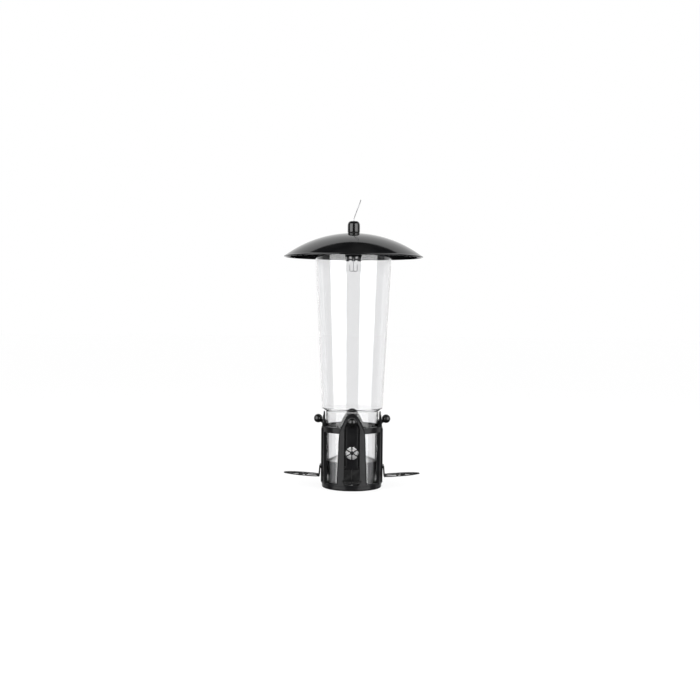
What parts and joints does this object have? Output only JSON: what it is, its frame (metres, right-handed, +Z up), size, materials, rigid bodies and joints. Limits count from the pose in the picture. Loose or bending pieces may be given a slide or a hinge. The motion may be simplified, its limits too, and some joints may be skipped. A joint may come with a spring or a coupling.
{
  "type": "hanging tube bird feeder",
  "caption": "Hanging tube seed feeder with a domed roof, clear tapered tube, arched ports with spring-loaded shutters and perches, and a wire hanger",
  "frame": {"origin": "centre of the flat underside of the base, on the axis of the tube", "axes": "+Z up along the tube, -Y towards the front port, +X to the right of it"},
  "size_m": [0.2018, 0.2018, 0.4178],
  "materials": {
    "black_gloss": "gloss black enamel on spun steel",
    "black_plastic": "semi-gloss black moulded plastic",
    "black_satin": "polished black moulded plastic",
    "black_perch": "black moulded lattice, slightly satin",
    "clear_plastic": "clear polycarbonate with a polished surface",
    "grey_plastic": "light grey moulded plastic",
    "bright_steel": "bright galvanised steel wire",
    "seal_rubber": "black rubber washer"
  },
  "bodies": {
    "feeder": {"base_tray": "black_plastic", "cage": "black_plastic", "base_screws": "bright_steel", "spring_pins": "bright_steel", "seed_tube": "clear_plastic", "seed_baffle": "grey_plastic", "crossbar": "black_plastic", "bar_caps": "black_plastic"},
    "roof": {"roof_dome": "black_gloss", "roof_locator": "black_plastic"},
    "knob": {"finial": "black_satin", "finial_washer": "seal_rubber", "finial_clip": "bright_steel"},
    "hanger": {"hanger_wire": "bright_steel"},
    "port_front": {"shutter_front": "black_plastic", "knob_front": "black_satin", "perch_front": "black_perch", "spring_front": "bright_steel"},
    "port_right": {"shutter_right": "black_plastic", "knob_right": "black_satin", "perch_right": "black_perch", "spring_right": "bright_steel"},
    "port_back": {"shutter_back": "black_plastic", "knob_back": "black_satin", "perch_back": "black_perch", "spring_back": "bright_steel"},
    "port_left": {"shutter_left": "black_plastic", "knob_left": "black_satin", "perch_left": "black_perch", "spring_left": "bright_steel"}
  },
  "joints": [
    {"name": "roof_lift", "type": "slide", "parent": "feeder", "child": "roof", "axis": [0, 0, 1], "range_m": [0, 0.12]},
    {"name": "knob_turn", "type": "hinge", "parent": "roof", "child": "knob", "pos_m": [0, 0, 0.379], "axis": [0, 0, 1], "range_deg": [0, 90]},
    {"name": "hanger_rise", "type": "slide", "parent": "knob", "child": "hanger", "axis": [0, 0, 1], "range_m": [0, 0.009]},
    {"name": "port_drop_front", "type": "slide", "parent": "feeder", "child": "port_front", "axis": [0, 0, -1], "range_m": [0, 0.014], "stiffness_N_per_m": 164, "springref_m": -0.0073, "deforming": ["spring_front"]},
    {"name": "port_drop_right", "type": "slide", "parent": "feeder", "child": "port_right", "axis": [0, 0, -1], "range_m": [0, 0.014], "stiffness_N_per_m": 164, "springref_m": -0.0073, "deforming": ["spring_right"]},
    {"name": "port_drop_back", "type": "slide", "parent": "feeder", "child": "port_back", "axis": [0, 0, -1], "range_m": [0, 0.014], "stiffness_N_per_m": 164, "springref_m": -0.0073, "deforming": ["spring_back"]},
    {"name": "port_drop_left", "type": "slide", "parent": "feeder", "child": "port_left", "axis": [0, 0, -1], "range_m": [0, 0.014], "stiffness_N_per_m": 164, "springref_m": -0.0073, "deforming": ["spring_left"]}
  ]
}
